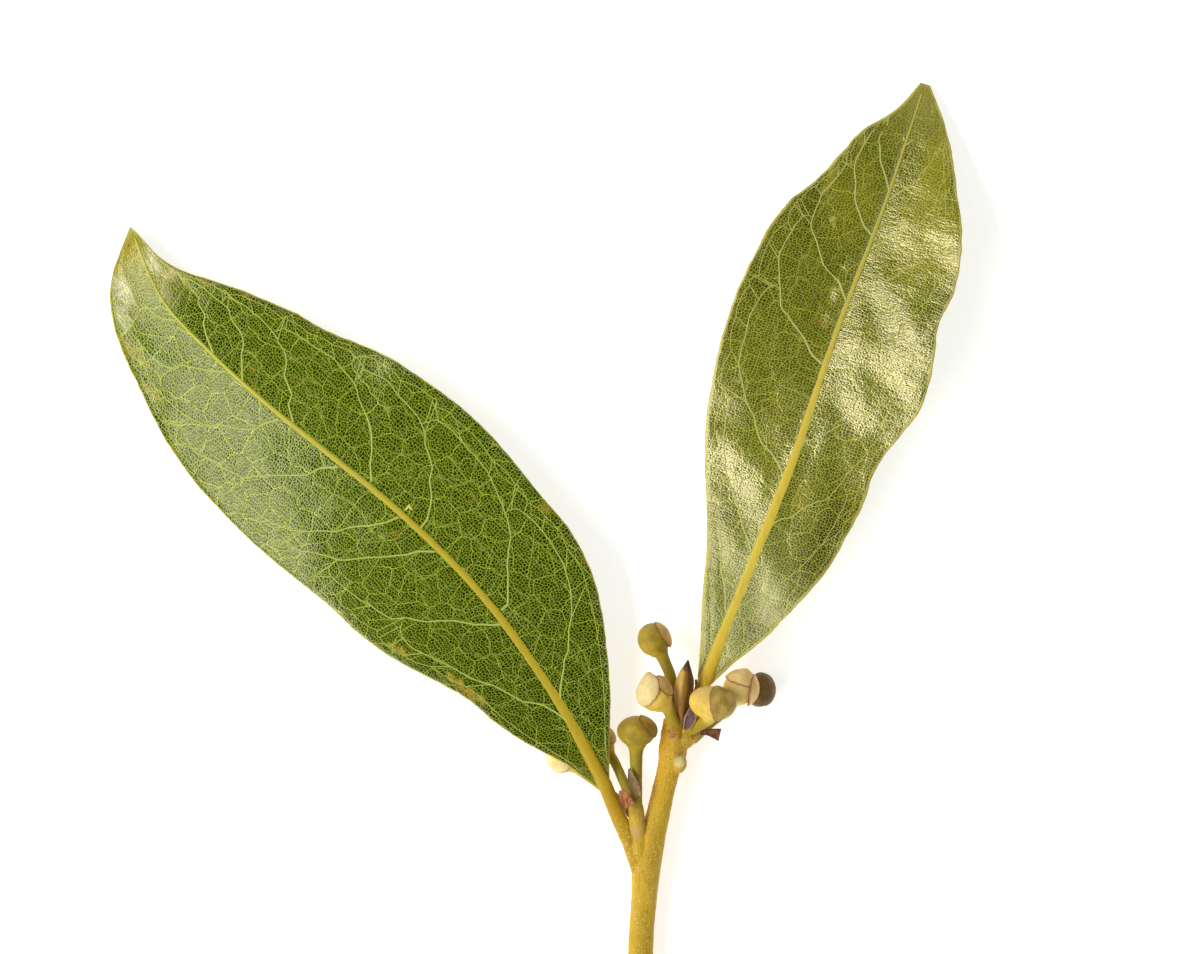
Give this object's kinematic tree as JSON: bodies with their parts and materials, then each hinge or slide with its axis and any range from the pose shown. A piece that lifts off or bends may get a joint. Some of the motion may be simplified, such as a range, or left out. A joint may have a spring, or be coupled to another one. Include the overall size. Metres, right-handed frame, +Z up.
{
  "type": "bay leaf branch",
  "caption": "Cut twig of bay laurel lying flat, with broad glossy evergreen leaves and a cluster of round flower buds on short stalks.",
  "frame": {"origin": "middle of the branch's footprint on the surface that it lies on", "axes": "+Z up from the surface, +Y from the cut end towards the leaf tips, +X to the right seen from above"},
  "size_m": [0.1064, 0.1212, 0.0118],
  "materials": {
    "bark": "satin",
    "leaf": "gloss",
    "flower_bud": "satin",
    "bud_bract": "satin",
    "leaf_bud": "satin",
    "dark_scale": "satin"
  },
  "bodies": {
    "root": {"twig": "bark", "side_shoot": "bark", "left_leaf": "leaf", "right_leaf": "leaf", "bud_top": "flower_bud", "bud_left": "flower_bud", "bud_front": "flower_bud", "bud_right": "flower_bud", "bud_far_right": "flower_bud", "bud_axil": "flower_bud", "bud_behind_leaf": "flower_bud", "bud_under_leaf": "flower_bud", "bud_top_bract": "bud_bract", "bud_left_bract_upper": "bud_bract", "bud_left_bract_lower": "bud_bract", "bud_front_bract": "bud_bract", "bud_right_bract": "bud_bract", "bud_right_bract_side": "bud_bract", "bud_far_right_bract": "bud_bract", "bud_axil_bract": "bud_bract", "bud_behind_leaf_bract": "bud_bract", "bud_under_leaf_bract": "bud_bract", "leaf_bud": "leaf_bud", "leaf_bud_scale": "leaf_bud", "node_bract": "dark_scale", "node_bract_right": "dark_scale", "axil_bract": "dark_scale", "axil_bract_upper": "dark_scale"}
  },
  "joints": []
}
